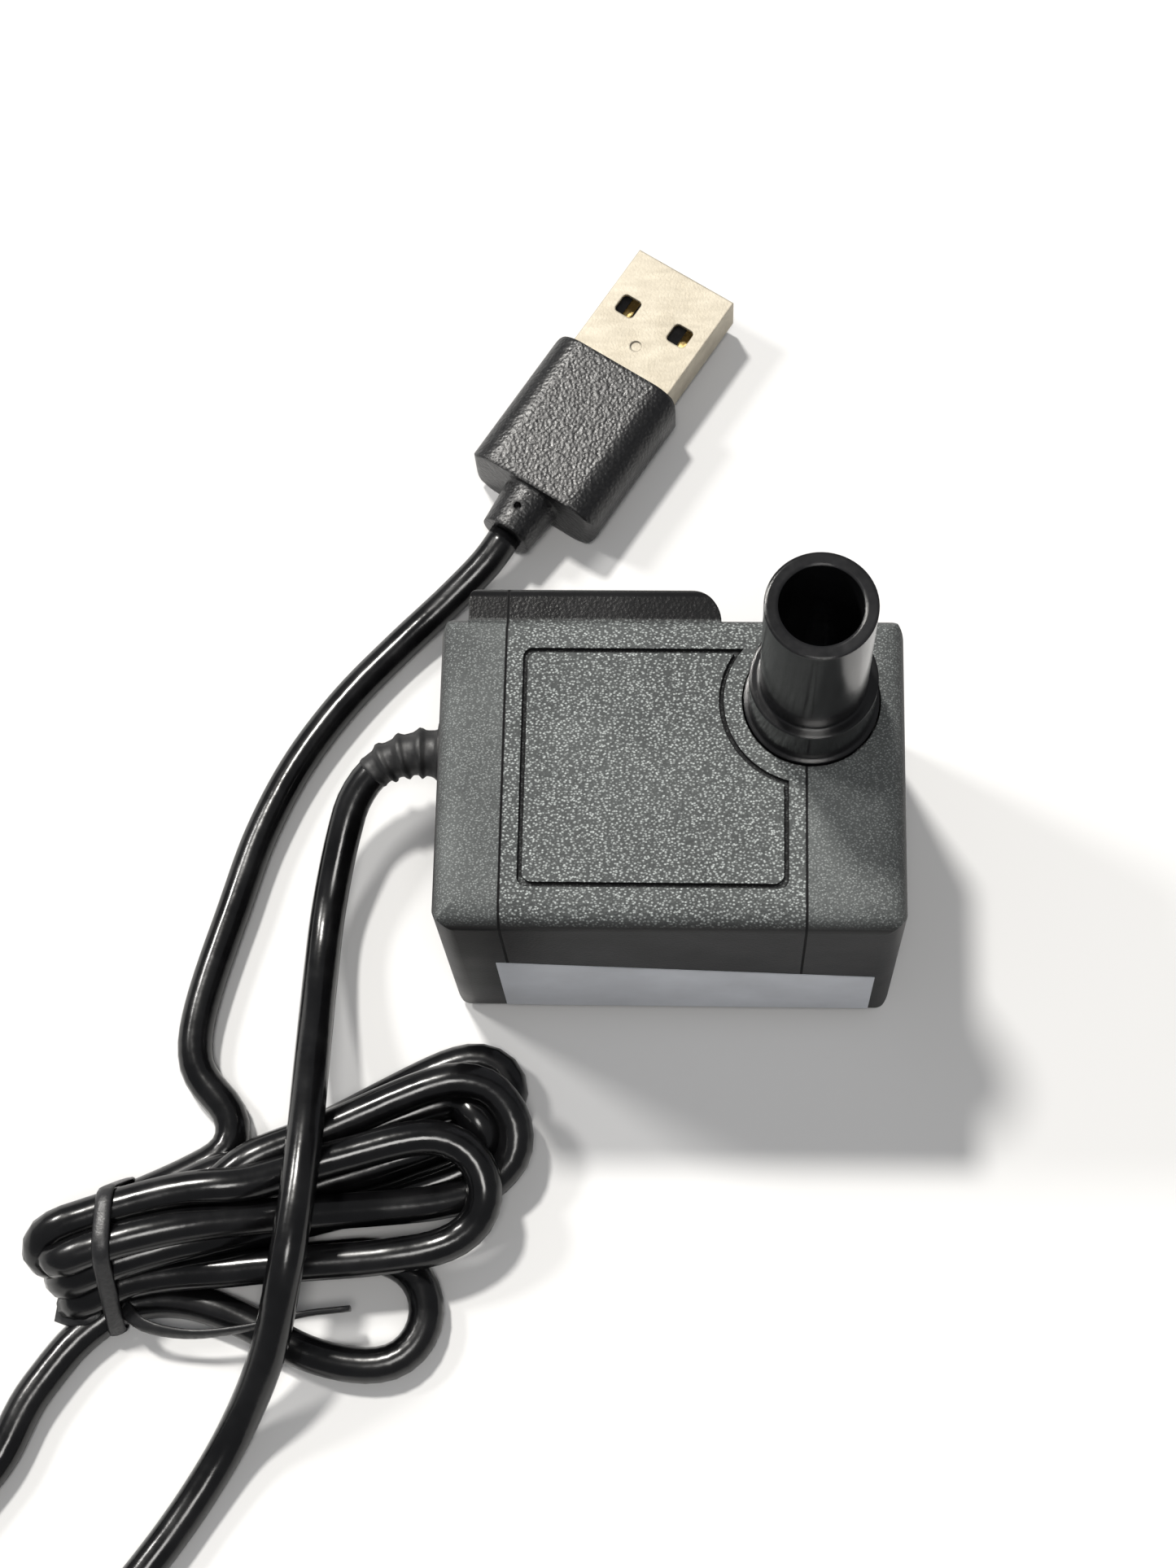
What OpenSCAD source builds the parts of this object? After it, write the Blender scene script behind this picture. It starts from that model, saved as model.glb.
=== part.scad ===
// Small USB-powered submersible fountain pump with a tied cord.
// +X runs towards the intake end, +Y towards the coil bulge, +Z up along the outlet.
// The origin is at the middle of the base, on the standing surface.

/* [Body] */
// Length of the housing along X, both end covers included
body_w = 43; // [42:1:56]
// Depth of the housing along Y, without the coil bulge
body_d = 30; // [30:1:40]
// Height of the housing
body_h = 32; // [31:1:42]
// Thickness of the housing walls
wall = 1.6; // [1.2:0.1:2]
// Length of the rear cover along X
rear_len = 6.2; // [5.4:0.2:8]
// Length of the intake cover along X
cover_len = 9.1; // [7.9:0.2:11.3]
// How far the coil bulge stands out from the far face
bulge_d = 3.1; // [2.9:0.1:5]
// Distance of the coil bulge from the rear end
bulge_inset = 2.5; // [2:0.1:3.5]
// Length of the bulge beyond the coil, at the intake side
bulge_past = 2.3; // [2.3:0.1:5]
// Radius of the long edges of the housing
edge_r = 2.5; // [1.5:0.1:3.2]
// Radius of the upright corners of the housing
corner_r = 2; // [1:0.1:3]

/* [Panel] */
// Distance of the inset panel from the two seams
panel_edge_x = 1.6; // [1:0.1:3]
// Distance of the inset panel from the near and far faces
panel_edge_y = 3.5; // [2.8:0.1:5]
// Width of the groove round the panel
groove_w = 0.45; // [0.3:0.05:0.8]
// Depth of the groove round the panel
groove_deep = 0.4; // [0.2:0.05:0.7]
// Width of the smooth band between the outlet's base ring and the groove
bite_gap = 1.8; // [1.2:0.1:3]

/* [Outlet] */
// Outside diameter of the outlet tube
outlet_od = 9.7; // [8.6:0.1:10.8]
// Bore of the outlet tube
outlet_id = 7.3; // [5:0.1:8]
// Height of the outlet tube above the housing
outlet_h = 23; // [12:1:32]
// Step from the tube out to the collar
collar_step = 0.95; // [0.5:0.05:1.2]
// Height of the stepped collar above the housing
collar_h = 5.9; // [3:0.1:9]
// Step from the collar out to the base ring that fills the opening
base_step = 0.4; // [0.2:0.05:0.8]

/* [Pump chamber] */
// Inside radius of the volute casing
volute_r = 10.1; // [8.4:0.1:10.5]
// Wall of the volute casing
volute_wall = 1.4; // [1.2:0.1:1.5]
// How far the rotor axis lies off the middle of the chamber
scroll_off = 1; // [0.5:0.1:1.5]
// Gap between the impeller and the chamber where they are nearest
impeller_gap = 0.7; // [0.4:0.05:1.5]
// Number of impeller vanes
vanes = 6; // [3:1:8]
// Thickness of an impeller vane
vane_t = 1; // [0.8:0.1:1.4]
// Radius of the intake eye in the casing
eye_r = 5.8; // [4.8:0.1:6.4]
// Width of an intake slot
slot_w = 1.6; // [1:0.1:2]
// Height of an intake slot
slot_h = 20; // [12:1:23]

/* [Drive] */
// Radius of the rotor shaft
shaft_r = 1; // [0.8:0.1:1.2]
// Radius of the rotor magnet
magnet_r = 5; // [4.2:0.1:6]
// Length of the rotor magnet
magnet_len = 10; // [8:1:12]
// Length of the stator core along X
core_len = 10; // [8:0.5:10]
// Thickness of the stator core's plates pack
core_t = 3; // [2.4:0.1:3.1]
// Thickness of the coil's copper
coil_t = 1.9; // [1.2:0.1:2]
// Thickness of the circuit board
board_t = 1; // [0.8:0.1:1.2]

/* [Fits] */
// Radial running fit of the rotor on its shaft
run_fit = 0.05; // [0.02:0.01:0.1]
// Sliding clearance between pieces that come apart
slide_gap = 0.15; // [0.1:0.01:0.25]
// Radial clearance of the rotor in its well
well_gap = 0.5; // [0.4:0.05:0.7]

/* [Plug and cord] */
// Diameter of the cord
cord_d = 3.5; // [3:0.1:3.9]
// Width of the plug's overmould
mold_w = 15.6; // [14:0.1:17]
// Thickness of the plug's overmould
mold_t = 7.8; // [7:0.1:8]
// Length of the plug's overmould
mold_len = 16.6; // [16:0.1:22]
// Length of the bare plug shell
shell_len = 13.3; // [11.8:0.1:14]

/* [Hidden] */
$fn = 64;
eps = 0.01;

// Standard sizes of a USB type A plug.
shell_w = 12;
shell_t = 4.5;
sheet = 0.35;

// The housing is drawn about its own middle, then set over the origin.
label_t = 0.12;
set_y = -(bulge_d - label_t) / 2;
half_w = body_w / 2;
half_d = body_d / 2;
axis_z = body_h / 2;
seam_l = -half_w + rear_len;
seam_r = half_w - cover_len;
in_d = half_d - wall;
cav_r = 1;

// Places along X, from the intake end.
outlet_x = seam_r + 0.45;
out_r = outlet_od / 2;
bore_r = outlet_id / 2;
outlet_y = volute_r - bore_r;
collar_r = out_r + collar_step;
base_r = collar_r + base_step;
bite_r = base_r + bite_gap;
impeller_r = volute_r - scroll_off - impeller_gap;
front_gap = 0.1;
casing_x1 = outlet_x + out_r + 0.2;
casing_in = casing_x1 - volute_wall + 0.1;
spigot_x = outlet_x - bore_r - 0.1;
spigot_len = 1.7;
bulk_x1 = spigot_x - spigot_len;
bulk_x0 = bulk_x1 - wall;
casing_x0 = bulk_x1 + slide_gap;
volute_or = volute_r + volute_wall;
axis_y = -scroll_off;

// The seal in the spigot's groove.
seal_r = 0.45;
seal_slack = 0.02;
seal_room = seal_r + 0.15;
seal_mid = volute_r - seal_r - seal_slack;
seal_x = bulk_x1 + 0.9;
spigot_r = volute_r - slide_gap;

// The rotor well and what turns in it.
well_r = magnet_r + well_gap;
well_or = well_r + 1;
throat_step = 0.35;
throat_top = body_h - 2;
bush_len = 1.8;
bush_fit = 0.02;
play = 0.1;
washer_t = 0.4;
core_gap = 0.05;
bobbin_t = 0.8;
rim = core_gap + bobbin_t + coil_t + 0.15;
lip_len = 1.5;
core_x0 = seam_l + lip_len + 0.3 + rim;
core_x1 = core_x0 + core_len;
core_mid = (core_x0 + core_x1) / 2;
magnet_x0 = core_mid - magnet_len / 2;
rear_stop = magnet_x0 - 0.3;
washer_x = rear_stop - play - washer_t;
bush_x = washer_x - bush_len;
well_x0 = bush_x - 1.2;
carrier_r = 2.4;
bush_r = 2.2;
boss_r = 3.1;
hub_r = 3.6;
disc_x = spigot_x + 0.4;
disc_t = 1;
hub_end = casing_in - 2.6;
front_stop = hub_end + play;
front_bush_x = front_stop + washer_t;
front_bush_len = casing_x1 - 0.9 - front_bush_x;
vane_end = casing_in - 0.8;

// The stator round the well.
leg_z = well_or + 0.1;
leg_top = leg_z + core_t;
flange_t = 0.8;
bobbin_h = 2 * leg_z - 2 * core_gap;
pole_z = 4.5;
pole_y0 = axis_y - 6.5;
pole_y1 = axis_y + 6.5;
bulge_in = half_d + bulge_d - wall + 0.1;
coil_room = 1.1;
bar_y = bulge_in - coil_room - rim - core_t;
bulge_x0 = -half_w + bulge_inset;
bulge_x1 = core_x1 + rim + bulge_past;
bulge_drop = 1;

// The board, its parts and the resin in the rear cover.
rear_in = -half_w + wall - 0.1;
board_x = rear_in + 1.8;
board_front = board_x + board_t;
board_d = 2 * (in_d - 1.9);
board_h = body_h - 2 * wall - 4.8;
lip_t = 1;
cap_r = 1.4;
cap_y = axis_y - well_or - cap_r - 0.5;

// Where the cord leaves the housing.
exit_y = 9;
exit_z = 9;
gland_r = 3.2;
gland_out = 2;
neck_r = 2.6;

// The plug's place, its turn about Z and the height of its middle.
plug_x = -6.45;
plug_y = 51.7;
plug_a = 57.5;
plug_z = 4;
relief_len = 4.9;
relief_end = -mold_len - relief_len;
shell_in = 3;

// Route of the cord from the pump to the hank.
exit_route = [
  [-23.5, 7.5, 9], [-26, 7.5, 9], [-29.5, 6.4, 8.2], [-32, 3.6, 7],
  [-33.2, 0, 5.8], [-34.6, -7.6, 4], [-34.9, -14.6, 5], [-34.7, -23.8, 9],
  [-34.6, -32.3, 12], [-35, -39.5, 13], [-35.7, -44.7, 12.5],
  [-37.5, -51.7, 8], [-41, -58.8, 3], [-44.7, -65.2, 1.8],
  [-48.9, -71.4, 1.8], [-53.5, -77, 1.8], [-59.5, -81, 1.8],
  [-66, -80.5, 1.8], [-70, -76, 1.8], [-69.5, -70, 1.8],
  [-66.5, -65.5, 1.8], [-63.7, -61.5, 1.8], [-61, -55.5, 1.8],
  [-58.5, -51, 1.8]
];
// Route of the cord from the plug to the hank.
plug_route = [
  [-18, 33.6, 4], [-19.7, 31, 3.6], [-23.6, 27, 2.5], [-28.9, 21.8, 1.8],
  [-34.4, 15.5, 1.8], [-39, 8.5, 1.8], [-42.3, 1, 1.8], [-44.6, -7, 1.8],
  [-46.3, -15, 1.8], [-46.8, -22, 2.5], [-46.5, -28, 3.5],
  [-46.5, -33, 4]
];
// Ends of the hank's two bundles and its height.
hank_a = [-56, -43.5];
hank_b = [-20.5, -30];
hank_c = [-25, -40.5];
hank_r = 7;
hank_low_r = 6;
hank_h = 9.5;
hank_low_h = 8;
hank_turn = atan2(hank_b[1] - hank_a[1], hank_b[0] - hank_a[0]);
tie_w = 1.8;
tie_t = 0.8;

// ---- helpers ----

module set_over() {
  translate([0, set_y, 0]) children();
}

module rounded(x0, y0, x1, y1, r) {
  translate([x0 + r, y0]) square([x1 - x0 - 2 * r, y1 - y0]);
  translate([x0, y0 + r]) square([x1 - x0, y1 - y0 - 2 * r]);
  for (x = [x0 + r, x1 - r])
    for (y = [y0 + r, y1 - r])
      translate([x, y]) circle(r);
}

module along_x(x0, x1) {
  translate([x0, 0, 0]) rotate([90, 0, 90]) linear_extrude(x1 - x0) children();
}

module along_y(y0, y1) {
  translate([0, y1, 0]) rotate([90, 0, 0]) linear_extrude(y1 - y0) children();
}

module rod_x(x0, x1, r, y, z) {
  translate([x0, y, z]) rotate([0, 90, 0]) cylinder(h = x1 - x0, r = r);
}

module ring_x(x0, x1, r0, r1, y, z) {
  difference() {
    rod_x(x0, x1, r1, y, z);
    rod_x(x0 - 1, x1 + 1, r0, y, z);
  }
}

module block(x0, x1, y0, y1, z0, z1) {
  translate([x0, y0, z0]) cube([x1 - x0, y1 - y0, z1 - z0]);
}

// The whole rounded outside of the housing, cut to one stretch along X.
module body_stretch(x0, x1) {
  intersection() {
    along_x(x0, x1) rounded(-half_d, 0, half_d, body_h, edge_r);
    linear_extrude(body_h)
      rounded(-half_w, -half_d, half_w, half_d, corner_r);
    along_y(-half_d - 1, half_d + 1)
      rounded(-half_w, 0, half_w, body_h, edge_r);
  }
}

module bulge_stretch(x0, x1) {
  intersection() {
    along_x(x0, x1)
      rounded(half_d - 4, bulge_drop, half_d + bulge_d, body_h - bulge_drop, 1.2);
    linear_extrude(body_h) bulge_plan(half_d + bulge_d, bulge_x0, bulge_x1);
  }
}

// Outline of the bulge from above: a small left corner and a large right one.
module bulge_plan(y1, x0, x1) {
  small = 1.2;
  large = 3.6;
  translate([x0, half_d - 4]) square([x1 - x0, y1 - half_d + 4 - large]);
  translate([x0, y1 - large]) square([x1 - x0 - large, large - small]);
  translate([x0 + small, y1 - large - eps])
    square([x1 - x0 - large - small, large + eps]);
  translate([x0 + small, y1 - small]) circle(small);
  translate([x1 - large, y1 - large]) circle(large);
}

module cavity(x0, x1) {
  along_x(x0, x1) rounded(-in_d, wall, in_d, body_h - wall, cav_r);
}

// Room for the coil inside the bulge.
module bulge_room(x0, x1) {
  z0 = axis_z - bobbin_h / 2 - 1;
  z1 = axis_z + bobbin_h / 2 + 1;
  block(x0, x1, half_d - 4, bulge_in, z0, z1);
}

module outlet_hole(r) {
  translate([outlet_x, outlet_y, body_h - wall - 2]) cylinder(h = wall + 4, r = r);
}

module panel_plan(inset) {
  px0 = seam_l + panel_edge_x + inset;
  px1 = seam_r - panel_edge_x - inset;
  py0 = -half_d + panel_edge_y + inset;
  py1 = half_d - panel_edge_y - inset;
  difference() {
    rounded(px0, py0, px1, py1, 0.9);
    translate([outlet_x, outlet_y]) circle(bite_r + inset);
  }
}

// ---- housing ----

module main_housing() {
  color([0.07, 0.07, 0.08]) set_over() {
    difference() {
      union() {
        difference() {
          union() {
            body_stretch(seam_l, seam_r);
            bulge_stretch(seam_l, bulge_x1 + 1);
          }
          cavity(seam_l - 1, bulk_x0);
          cavity(bulk_x1, seam_r + 1);
          bulge_room(seam_l - 1, bulge_x1 - wall + 0.1);
        }
        rod_x(bulk_x0 + 0.5, spigot_x, spigot_r, 0, axis_z);
        rod_x(well_x0, bulk_x0 + 0.5, well_or, axis_y, axis_z);
      }
      rod_x(bush_x, spigot_x + 1, well_r, axis_y, axis_z);
      ring_x(seal_x - seal_room, seal_x + seal_room, seal_mid - seal_r - seal_slack,
        spigot_r + 1, 0, axis_z);
      outlet_hole(base_r + slide_gap);
      translate([0, 0, body_h - groove_deep])
        linear_extrude(1)
          difference() {
            panel_plan(0);
            panel_plan(groove_w);
          }
    }
    difference() {
      rod_x(bush_x - 0.4, washer_x, boss_r, axis_y, axis_z);
      rod_x(bush_x, washer_x + 1, bush_r, axis_y, axis_z);
    }
  }
}

module rear_cover() {
  color([0.08, 0.08, 0.09]) set_over() {
    difference() {
      union() {
        body_stretch(-half_w, seam_l);
        bulge_stretch(bulge_x0, seam_l);
      }
      cavity(rear_in, seam_l + 1);
      bulge_room(bulge_x0 + wall, seam_l + 1);
      rod_x(-half_w - 1, rear_in + 1, neck_r, exit_y, exit_z);
    }
    difference() {
      along_x(seam_l - 1, seam_l + lip_len)
        rounded(-in_d + lip_fit(), wall + lip_fit(), in_d - lip_fit(),
          body_h - wall - lip_fit(), cav_r);
      along_x(seam_l - 2, seam_l + lip_len + 1)
        rounded(-in_d + lip_t, wall + lip_t, in_d - lip_t,
          body_h - wall - lip_t, cav_r);
      block(seam_l - 2, seam_l - eps, -half_d, half_d, 0, body_h);
    }
    lip_foot();
  }
}

function lip_fit() = slide_gap - 0.05;

// Joins the lip to the wall of the cover all round.
module lip_foot() {
  difference() {
    cavity(seam_l - 1.2, seam_l);
    along_x(seam_l - 2, seam_l + 1)
      rounded(-in_d + lip_t, wall + lip_t, in_d - lip_t,
        body_h - wall - lip_t, cav_r);
  }
}

module intake_cover() {
  inner_x = half_w - wall + 0.1;
  color([0.07, 0.07, 0.08]) set_over() {
    difference() {
      body_stretch(seam_r, half_w);
      cavity(seam_r - 1, inner_x);
      outlet_hole(base_r + slide_gap);
      block(seam_r - 1, outlet_x, outlet_y - base_r - slide_gap,
        outlet_y + base_r + slide_gap, body_h - wall - 2, body_h + 2);
      for (i = [-3:3])
        intake_slot(i * 2 * slot_w, inner_x);
    }
    for (s = [-1, 1]) {
      cover_tongue(s);
      cover_rib(s, inner_x);
    }
  }
}

module intake_slot(y, inner_x) {
  along_x(inner_x - 1, half_w + 1) {
    translate([y - slot_w / 2, axis_z - slot_h / 2 + slot_w / 2])
      square([slot_w, slot_h - slot_w]);
    for (s = [-1, 1])
      translate([y, axis_z + s * (slot_h - slot_w) / 2]) circle(slot_w / 2);
  }
}

// A tongue that slides inside the housing's side wall.
module cover_tongue(side) {
  tongue_t = 1.1;
  tongue_len = 3.2;
  y1 = in_d - slide_gap;
  mirror([0, side < 0 ? 1 : 0, 0]) {
    block(seam_r - tongue_len, seam_r + 2, y1 - tongue_t, y1, axis_z - 6, axis_z + 6);
    block(seam_r + eps, seam_r + 2, y1 - tongue_t, in_d + 0.5, axis_z - 6, axis_z + 6);
  }
}

// A rib that keeps the volute casing pressed on its spigot.
module cover_rib(side, inner_x) {
  y = side * 5 * slot_w;
  block(casing_x1 + front_gap, inner_x + 0.5, y - 0.6, y + 0.6, axis_z - 6, axis_z + 6);
}

// ---- pump end ----

module volute_casing() {
  boss_x0 = front_bush_x;
  color([0.04, 0.04, 0.045]) set_over() {
    difference() {
      union() {
        rod_x(casing_x0, casing_x1, volute_or, 0, axis_z);
        translate([outlet_x, outlet_y, axis_z])
          cylinder(h = body_h + outlet_h - axis_z, r = out_r);
        translate([outlet_x, outlet_y, body_h - wall - 0.6])
          cylinder(h = wall + 0.6 + collar_h, r = collar_r);
        translate([outlet_x, outlet_y, body_h - wall - 0.6])
          cylinder(h = wall + 1, r = base_r);
      }
      rod_x(casing_x0 - 1, casing_in, volute_r, 0, axis_z);
      rod_x(casing_in - 1, casing_x1 + 1, eye_r, axis_y, axis_z);
      translate([outlet_x, outlet_y, axis_z])
        cylinder(h = body_h + outlet_h, r = bore_r);
      translate([outlet_x, outlet_y, axis_z])
        cylinder(h = throat_top - axis_z, r = bore_r + throat_step);
    }
    difference() {
      union() {
        rod_x(boss_x0, casing_x1, boss_r, axis_y, axis_z);
        for (a = [0, 120, 240])
          translate([casing_in, axis_y, axis_z])
            rotate([a, 0, 0])
              translate([0, -0.6, 1])
                cube([casing_x1 - casing_in, 1.2, eye_r - 0.5]);
      }
      rod_x(boss_x0 - 1, boss_x0 + front_bush_len, bush_r, axis_y, axis_z);
    }
  }
}

module chamber_seal() {
  color([0.15, 0.15, 0.15]) set_over()
    translate([seal_x, 0, axis_z])
      rotate([0, 90, 0])
        rotate_extrude() translate([seal_mid, 0]) circle(seal_r);
}

module rear_bush() {
  color([0.2, 0.2, 0.2]) set_over()
    ring_x(bush_x, washer_x, shaft_r + bush_fit, bush_r, axis_y, axis_z);
}

module front_bush() {
  color([0.2, 0.2, 0.2]) set_over()
    ring_x(front_bush_x, front_bush_x + front_bush_len, shaft_r + bush_fit, bush_r,
      axis_y, axis_z);
}

module rotor_shaft() {
  color([0.9, 0.9, 0.88]) set_over()
    rod_x(bush_x, front_bush_x + front_bush_len - 0.2, shaft_r, axis_y, axis_z);
}

module thrust_washers() {
  color([0.85, 0.85, 0.85]) set_over() {
    ring_x(washer_x, washer_x + washer_t, shaft_r, bush_r, axis_y, axis_z);
    ring_x(front_stop, front_bush_x, shaft_r, bush_r, axis_y, axis_z);
  }
}

module rotor_magnet() {
  color([0.25, 0.25, 0.27]) set_over()
    ring_x(magnet_x0, magnet_x0 + magnet_len, carrier_r, magnet_r, axis_y, axis_z);
}

module rotor_carrier() {
  color([0.9, 0.9, 0.92]) set_over()
    difference() {
      union() {
        rod_x(rear_stop, hub_end, carrier_r, axis_y, axis_z);
        rod_x(rear_stop, magnet_x0, magnet_r - 0.6, axis_y, axis_z);
        rod_x(magnet_x0 + magnet_len, magnet_x0 + magnet_len + 1, magnet_r - 0.6,
          axis_y, axis_z);
      }
      rod_x(rear_stop - 1, hub_end + 1, shaft_r + run_fit, axis_y, axis_z);
    }
}

module impeller() {
  color([0.9, 0.9, 0.92]) set_over()
    difference() {
      union() {
        rod_x(disc_x, disc_x + disc_t, impeller_r, axis_y, axis_z);
        rod_x(disc_x, hub_end, hub_r, axis_y, axis_z);
        for (i = [0:vanes - 1])
          impeller_vane(i * 360 / vanes);
      }
      rod_x(disc_x - 1, hub_end + 1, carrier_r, axis_y, axis_z);
      rod_x(hub_end, vane_end + 1, hub_r + 0.2, axis_y, axis_z);
    }
}

module impeller_vane(turn) {
  translate([disc_x, axis_y, axis_z])
    rotate([turn, 0, 0])
      translate([0, -vane_t / 2, carrier_r + 0.3])
        cube([vane_end - disc_x, vane_t, impeller_r - carrier_r - 0.5]);
}

// ---- motor ----

module stator_core() {
  color([0.45, 0.46, 0.48]) set_over()
    difference() {
      union() {
        block(core_x0, core_x1, bar_y, bar_y + core_t, axis_z - leg_top, axis_z + leg_top);
        for (s = [-1, 1])
          core_leg(s);
      }
      rod_x(core_x0 - 1, core_x1 + 1, well_or + 0.02, axis_y, axis_z);
    }
}

module core_leg(side) {
  translate([0, 0, axis_z])
    mirror([0, 0, side < 0 ? 1 : 0]) {
      block(core_x0, core_x1, pole_y0, bar_y + core_t, leg_z, leg_top);
      block(core_x0, core_x1, pole_y0, pole_y1 - 0.5, pole_z, leg_top);
    }
}

module coil_box(pad, z0, z1) {
  block(core_x0 - pad, core_x1 + pad, bar_y - pad, bar_y + core_t + pad, z0, z1);
}

module coil_bobbin() {
  z0 = axis_z - bobbin_h / 2;
  z1 = axis_z + bobbin_h / 2;
  color([0.92, 0.9, 0.84]) set_over()
    difference() {
      union() {
        coil_box(core_gap + bobbin_t, z0, z1);
        coil_box(rim, z0, z0 + flange_t);
        coil_box(rim, z1 - flange_t, z1);
      }
      coil_box(core_gap, z0 - 1, z1 + 1);
    }
}

module coil_winding() {
  z0 = axis_z - bobbin_h / 2 + flange_t;
  z1 = axis_z + bobbin_h / 2 - flange_t;
  color([0.72, 0.38, 0.16]) set_over()
    difference() {
      coil_box(core_gap + bobbin_t + coil_t, z0, z1);
      coil_box(core_gap + bobbin_t, z0 - 1, z1 + 1);
    }
}

module coil_leads() {
  lead_x1 = core_x0 - core_gap - bobbin_t - coil_t;
  color([0.75, 0.4, 0.2]) set_over()
    for (z = [axis_z - 3, axis_z + 3])
      rod_x(board_front, lead_x1, 0.3, bar_y, z);
}

module circuit_board() {
  color([0.1, 0.35, 0.18]) set_over()
    block(board_x, board_front, -board_d / 2, board_d / 2,
      axis_z - board_h / 2, axis_z + board_h / 2);
}

module board_parts() {
  color([0.12, 0.12, 0.13]) set_over() {
    block(board_front, board_front + 1.5, axis_y - 2, axis_y + 2, axis_z - 1.5, axis_z + 1.5);
    translate([board_front + cap_r, cap_y, axis_z - 8.5]) cylinder(h = 6, r = cap_r);
    block(board_front, board_front + 1.1, -9, -5, axis_z + 4, axis_z + 6.4);
    block(board_front, board_front + 1, 2, 5, axis_z - 9, axis_z - 6.6);
  }
}

module potting() {
  color([0.16, 0.16, 0.17]) set_over()
    along_x(rear_in, board_x)
      rounded(-in_d + 0.1, wall + 0.1, in_d - 0.1, body_h - wall - 0.1, cav_r);
}

module data_label() {
  color([0.86, 0.87, 0.89]) set_over()
    along_y(-half_d - label_t, -half_d)
      polygon([[-16.4, edge_r], [19.4, edge_r], [19.4, 14.4], [-16.4, 18.3]]);
}

// ---- cord and plug ----

module cord_gland() {
  color([0.06, 0.06, 0.06]) set_over() {
    rod_x(-half_w - gland_out, -half_w, gland_r, exit_y, exit_z);
    rod_x(-half_w - eps, rear_in, neck_r, exit_y, exit_z);
  }
}

function unit(v) = v / norm(v);

function ahead(p, i) =
  unit(p[min(i + 1, len(p) - 1)] - p[max(i - 1, 0)]);

function ring_at(p, i, r, sides) =
  let (t = ahead(p, i), s = unit(cross(t, [0, 0, 1])), u = cross(s, t))
  [for (k = [0:sides - 1])
    p[i] + r * cos(360 * k / sides) * s + r * sin(360 * k / sides) * u];

// A round tube along the points of a route.
module tube(p, r) {
  sides = 8;
  n = len(p);
  pts = [for (i = [0:n - 1]) each ring_at(p, i, r, sides)];
  skin = [for (i = [0:n - 2]) for (k = [0:sides - 1])
    [i * sides + k, i * sides + (k + 1) % sides,
     (i + 1) * sides + (k + 1) % sides, (i + 1) * sides + k]];
  first = [for (k = [0:sides - 1]) sides - 1 - k];
  last = [for (k = [0:sides - 1]) (n - 1) * sides + k];
  polyhedron(points = pts, faces = concat([first], skin, [last]), convexity = 6);
}

module cord_pump_side() {
  color([0.05, 0.05, 0.055]) tube(exit_route, cord_d / 2);
}

module cord_plug_side() {
  color([0.05, 0.05, 0.055]) tube(plug_route, cord_d / 2);
}

module stadium(p0, p1, r) {
  span = norm(p1 - p0);
  turn = atan2(p1[1] - p0[1], p1[0] - p0[0]);
  translate(p0) rotate(turn) translate([0, -r]) square([span, 2 * r]);
  translate(p0) circle(r);
  translate(p1) circle(r);
}

module tie_ring() {
  translate([hank_a[0], hank_a[1], 0])
    rotate([0, 0, hank_turn])
      translate([1.5, -hank_r, 0])
        difference() {
          cube([tie_w, 2 * hank_r, hank_h]);
          translate([-1, tie_t, tie_t])
            cube([tie_w + 2, 2 * hank_r - 2 * tie_t, hank_h - 2 * tie_t]);
        }
}

module cord_hank() {
  color([0.05, 0.05, 0.055])
    difference() {
      union() {
        linear_extrude(hank_h) stadium(hank_a, hank_b, hank_r);
        linear_extrude(hank_low_h) stadium(hank_a, hank_c, hank_low_r);
      }
      tie_ring();
    }
}

module cord_tie() {
  color([0.1, 0.1, 0.1])
    tie_ring();
}

module at_plug() {
  translate([plug_x, plug_y, plug_z]) rotate([0, 0, plug_a]) children();
}

module plug_overmold() {
  color([0.07, 0.07, 0.075]) at_plug()
    difference() {
      union() {
        intersection() {
          along_x(-mold_len, 0)
            rounded(-mold_w / 2, -mold_t / 2, mold_w / 2, mold_t / 2, 3.3);
          translate([0, 0, -mold_t])
            linear_extrude(2 * mold_t)
              rounded(-mold_len, -mold_w / 2, 0, mold_w / 2, 1.2);
        }
        translate([-mold_len + 0.5, 0, 0])
          rotate([0, -90, 0])
            cylinder(h = relief_len + 0.5, r1 = 3.3, r2 = 2.8);
      }
      translate([-shell_in, -shell_w / 2, -shell_t / 2])
        cube([shell_in + 1, shell_w, shell_t]);
      translate([-mold_len - 2.4, 0, 1.8]) cylinder(h = 3, r = 0.4);
    }
}

module plug_shell() {
  window = 2.3;
  window_x = 6.95;
  color([0.75, 0.72, 0.66]) at_plug()
    difference() {
      translate([-shell_in, -shell_w / 2, -shell_t / 2])
        cube([shell_in + shell_len, shell_w, shell_t]);
      translate([-shell_in - 1, -shell_w / 2 + sheet, -shell_t / 2 + sheet])
        cube([shell_in + shell_len + 2, shell_w - 2 * sheet, shell_t - 2 * sheet]);
      for (s = [-1, 1])
        translate([window_x, s * 3.3, 0])
          linear_extrude(shell_t)
            rounded(-window / 2, -window / 2, window / 2, window / 2, 0.5);
      translate([3.4, 0, shell_t / 2 - 0.18]) cylinder(h = 1, r = 0.6);
    }
}

module plug_insulator() {
  inner = shell_w / 2 - sheet;
  color([0.12, 0.12, 0.13]) at_plug() {
    translate([-shell_in, -inner, -shell_t / 2 + sheet])
      cube([shell_in + shell_len - 0.5, 2 * inner, 1.9]);
    translate([-shell_in, -inner, -shell_t / 2 + sheet + 1.8])
      cube([shell_in, 2 * inner, shell_t - 2 * sheet - 1.8]);
  }
}

module plug_contacts() {
  color([0.85, 0.68, 0.3]) at_plug()
    for (y = [-3.5, -1, 1, 3.5])
      translate([4, y - 0.5, -shell_t / 2 + sheet + 1.9]) cube([7, 1, 0.2]);
}

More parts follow.
